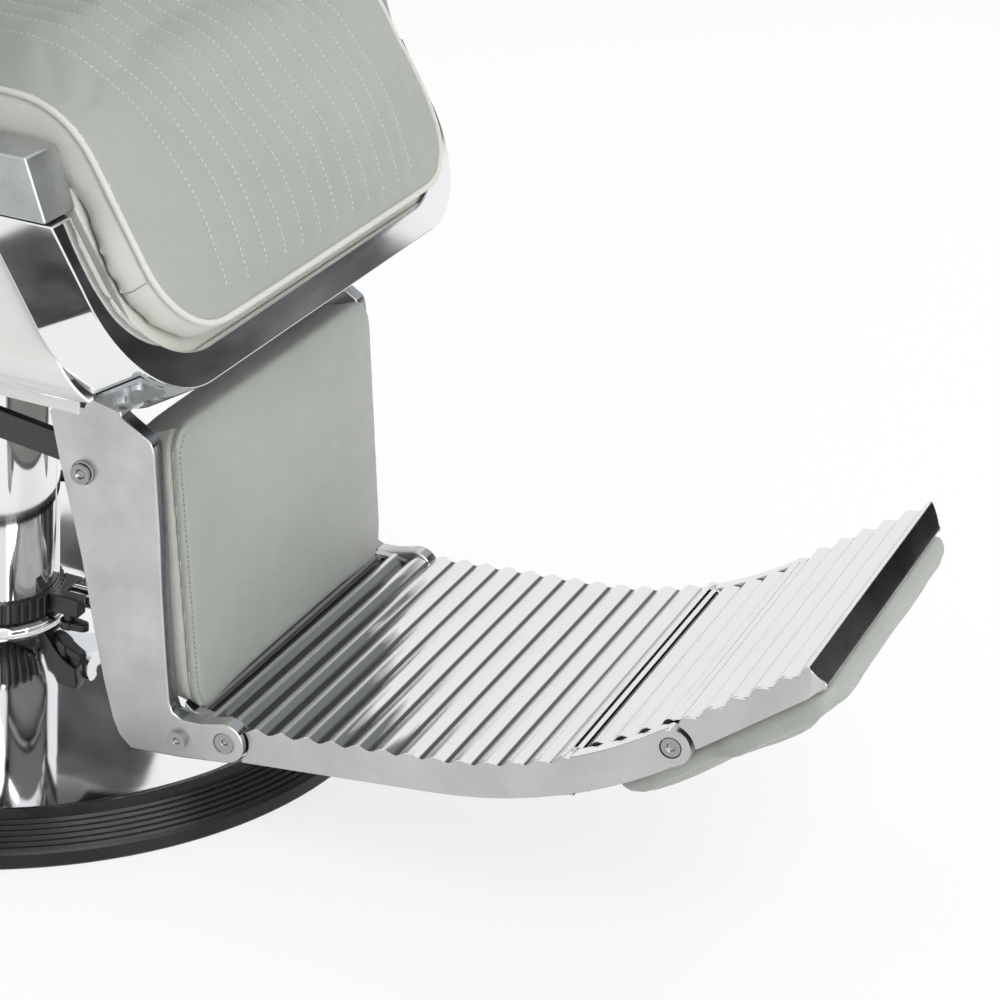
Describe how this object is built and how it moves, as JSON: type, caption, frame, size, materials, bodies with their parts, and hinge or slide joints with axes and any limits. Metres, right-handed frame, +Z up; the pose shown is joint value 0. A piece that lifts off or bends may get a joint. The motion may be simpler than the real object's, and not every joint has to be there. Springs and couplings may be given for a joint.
{
  "type": "hydraulic barber chair",
  "caption": "Hydraulic barber chair: round base, pump column, quilted seat and reclining back, coupled leg rest with calf pad and ribbed footplate.",
  "frame": {"origin": "on the column axis at floor level", "axes": "+Z up, the chair faces -Y, the sitter's right is -X"},
  "size_m": [0.7029, 1.1462, 1.2691],
  "materials": {
    "plate_steel": "brushed",
    "ring_rubber": "matt",
    "chrome": "polished",
    "washer_brass": "plain",
    "black_paint": "satin",
    "white_enamel": "gloss",
    "board_ply": "plain",
    "vinyl": "satin grain",
    "bolt_steel": "satin",
    "cast_alloy": "satin cast, polished edges"
  },
  "bodies": {
    "base": {"base_plate": "plate_steel", "floor_ring": "ring_rubber", "base_cover": "chrome", "neck_ring": "chrome", "turn_socket": "plate_steel", "socket_bolts": "plate_steel", "thrust_washer": "washer_brass"},
    "pump": {"pump_barrel": "chrome", "fluted_collar": "black_paint", "ram_gland": "plate_steel", "wiper_seal": "ring_rubber", "lever_yoke": "black_paint", "lever_pin": "chrome"},
    "pedal": {"pump_lever": "chrome", "lever_pad": "ring_rubber"},
    "lock": {"swivel_lock": "black_paint"},
    "seat": {"lift_ram": "chrome", "seat_hub": "black_paint", "seat_frame": "black_paint", "seat_shell": "white_enamel", "seat_rail": "chrome", "rail_lugs": "bolt_steel", "seat_board": "board_ply", "seat_cushion": "vinyl", "arm_frame_right": "chrome", "arm_frame_left": "chrome", "arm_pad_right": "vinyl", "arm_pad_left": "vinyl", "strut_cylinder": "black_paint", "recline_pins": "bolt_steel", "legrest_pivots": "bolt_steel"},
    "strut": {"strut_rod": "chrome"},
    "release": {"recline_lever": "chrome", "recline_grip": "ring_rubber"},
    "back": {"back_frame": "black_paint", "back_board": "board_ply", "back_shell": "white_enamel", "back_rail": "chrome", "back_cushion": "vinyl", "headrest_socket": "chrome"},
    "head_slide": {"headrest_stem": "chrome"},
    "headrest": {"headrest_plate": "black_paint", "headrest_cushion": "vinyl"},
    "legrest": {"bracket_right": "cast_alloy", "bracket_left": "cast_alloy", "bracket_tube": "bolt_steel", "calf_board": "board_ply", "calf_pad": "vinyl", "footplate": "cast_alloy", "footplate_screws": "bolt_steel"},
    "links": {"link_right": "bolt_steel", "link_left": "bolt_steel"},
    "toe": {"toe_plate": "cast_alloy", "toe_pad": "vinyl", "toe_pivots": "bolt_steel"}
  },
  "joints": [
    {"name": "swivel", "type": "hinge", "parent": "base", "child": "pump", "pos_m": [0, 0, 0.06], "axis": [0, 0, 1], "continuous": true},
    {"name": "pump_press", "type": "hinge", "parent": "pump", "child": "pedal", "pos_m": [0.016, -0.074, 0.0688], "axis": [0, 1, 0], "range_deg": [0, 18], "stiffness_Nm_per_rad": 40, "springref_deg": -17.19},
    {"name": "lock_swing", "type": "hinge", "parent": "pump", "child": "lock", "pos_m": [-0.001, -0.072, 0.05], "axis": [0, 0, 1], "range_deg": [0, 25]},
    {"name": "seat_lift", "type": "slide", "parent": "pump", "child": "seat", "axis": [0, 0, 1], "range_m": [0, 0.15]},
    {"name": "recline", "type": "hinge", "parent": "seat", "child": "back", "pos_m": [0, 0.215, 0.45], "axis": [-1, 0, 0], "range_deg": [0, 55]},
    {"name": "strut_slide", "type": "slide", "parent": "seat", "child": "strut", "axis": [0, -1, 0], "range_m": [0, 0.0417]},
    {"name": "release_pull", "type": "hinge", "parent": "seat", "child": "release", "pos_m": [0, 0.1, 0.478], "axis": [-1, 0, 0], "range_deg": [0, 15], "stiffness_Nm_per_rad": 8, "springref_deg": -14.32},
    {"name": "headrest_height", "type": "slide", "parent": "back", "child": "head_slide", "axis": [0, 0.1564, 0.9877], "range_m": [0, 0.08]},
    {"name": "headrest_tilt", "type": "hinge", "parent": "head_slide", "child": "headrest", "pos_m": [0, 0.34973, 1.17282], "axis": [-1, 0, 0], "range_deg": [-17, 35]},
    {"name": "legrest_swing", "type": "hinge", "parent": "seat", "child": "legrest", "pos_m": [0, -0.1902, 0.2902], "axis": [-1, 0, 0], "range_deg": [0, 55.5]},
    {"name": "link_swing", "type": "hinge", "parent": "legrest", "child": "links", "pos_m": [0, -0.20592, 0.33977], "axis": [-1, 0, 0], "range_deg": [-55.5, 0]},
    {"name": "toe_tilt", "type": "hinge", "parent": "legrest", "child": "toe", "pos_m": [0, -0.66177, 0.18072], "axis": [-1, 0, 0], "range_deg": [0, 50]}
  ],
  "couplings": [
    {"joint": "legrest_swing", "follows": "recline", "ratio": 1},
    {"joint": "link_swing", "follows": "recline", "ratio": -1},
    {"joint": "strut_slide", "follows": "recline", "m_per_rad": 0.0433}
  ]
}
